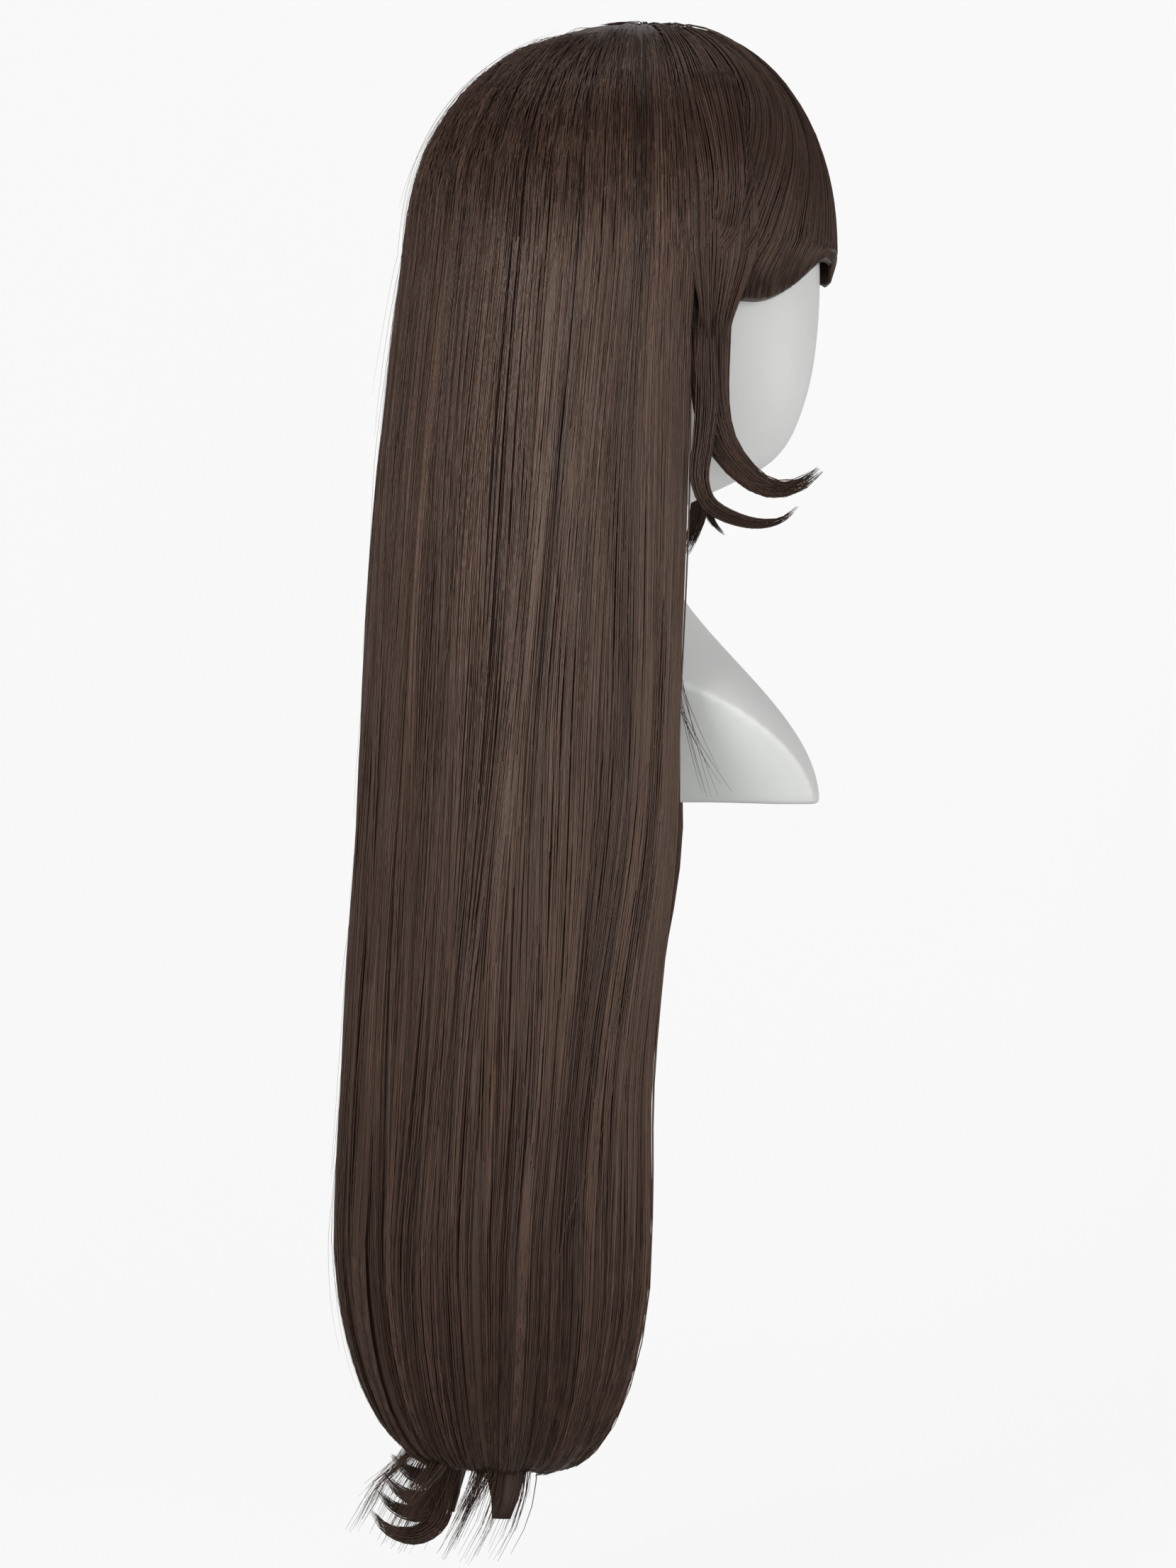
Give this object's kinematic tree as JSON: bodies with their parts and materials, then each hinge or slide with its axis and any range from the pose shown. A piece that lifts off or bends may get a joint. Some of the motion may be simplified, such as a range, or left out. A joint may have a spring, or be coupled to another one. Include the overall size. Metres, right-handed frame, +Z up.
{
  "type": "mannequin head with long wig",
  "caption": "Featureless white display head on a cut bust with a stand socket, wearing a long straight wig with a fringe and flipped side locks on an adjustable wefted cap.",
  "frame": {"origin": "centre of the stand socket's mouth, at the top of the arch under the bust", "axes": "+Z up along the socket's axis towards the crown, -Y the way the face looks, -X the head's right side"},
  "size_m": [0.2148, 0.2921, 0.8657],
  "materials": {
    "moulded_shell": "satin white moulded plastic",
    "socket_plastic": "plain moulded plastic",
    "screw_steel": "zinc-plated steel",
    "cap_net": "knitted net",
    "cap_elastic": "woven elastic",
    "scalp_patch": "fine mesh",
    "weft_track": "sewn hair weft",
    "hook_steel": "plated spring steel",
    "hair": "smooth synthetic fibre",
    "hair_under": "smooth synthetic fibre, darker"
  },
  "bodies": {
    "head": {"head_shell": "moulded_shell", "bust_foot_front": "moulded_shell", "bust_foot_back": "moulded_shell", "socket_sleeve": "socket_plastic", "socket_screws": "screw_steel"},
    "wig": {"parting_patch": "scalp_patch", "cap_crown_net": "cap_net", "cap_front_band": "cap_elastic", "cap_side_panel_right": "cap_net", "cap_side_panel_left": "cap_net", "cap_back_panel": "cap_net", "nape_band": "cap_elastic", "ear_tab_right": "cap_elastic", "ear_tab_left": "cap_elastic", "crown_wefts": "weft_track", "back_wefts": "weft_track", "side_wefts_right": "weft_track", "side_wefts_left": "weft_track", "adjuster_loops": "cap_elastic", "adjuster_strap_right": "cap_elastic", "adjuster_strap_left": "cap_elastic", "crown_whorl": "hair_under", "long_hair_right_1": "hair", "long_hair_right_2": "hair", "long_hair_right_3": "hair", "long_hair_right_4": "hair", "long_hair_left_1": "hair", "long_hair_left_2": "hair", "long_hair_left_3": "hair", "long_hair_left_4": "hair", "under_hair_right_1": "hair_under", "under_hair_right_2": "hair_under", "under_hair_left_1": "hair_under", "under_hair_left_2": "hair_under", "temple_hair_right": "hair", "temple_hair_left": "hair", "fringe_right_1": "hair", "fringe_right_2": "hair", "fringe_right_3": "hair", "fringe_left_1": "hair", "fringe_left_2": "hair", "fringe_left_3": "hair", "side_lock_upper_right": "hair", "side_lock_upper_left": "hair", "side_lock_lower_right": "hair_under", "side_lock_lower_left": "hair_under", "flicked_ends_outer": "hair", "flicked_ends_under": "hair_under"},
    "adjuster_hook_right": {"adjuster_hook_right": "hook_steel"},
    "adjuster_hook_left": {"adjuster_hook_left": "hook_steel"}
  },
  "joints": [
    {"name": "wig_lift", "type": "slide", "parent": "head", "child": "wig", "axis": [0, 0, 1], "range_m": [0, 0.215]},
    {"name": "hook_right_slide", "type": "hinge", "parent": "wig", "child": "adjuster_hook_right", "pos_m": [0, 0.00763, 0.23], "axis": [0, 0, 1], "range_deg": [-20, 0], "deforming": ["adjuster_strap_right"]},
    {"name": "hook_left_slide", "type": "hinge", "parent": "wig", "child": "adjuster_hook_left", "pos_m": [0, 0.00763, 0.23], "axis": [0, 0, 1], "range_deg": [0, 20], "deforming": ["adjuster_strap_left"]}
  ]
}
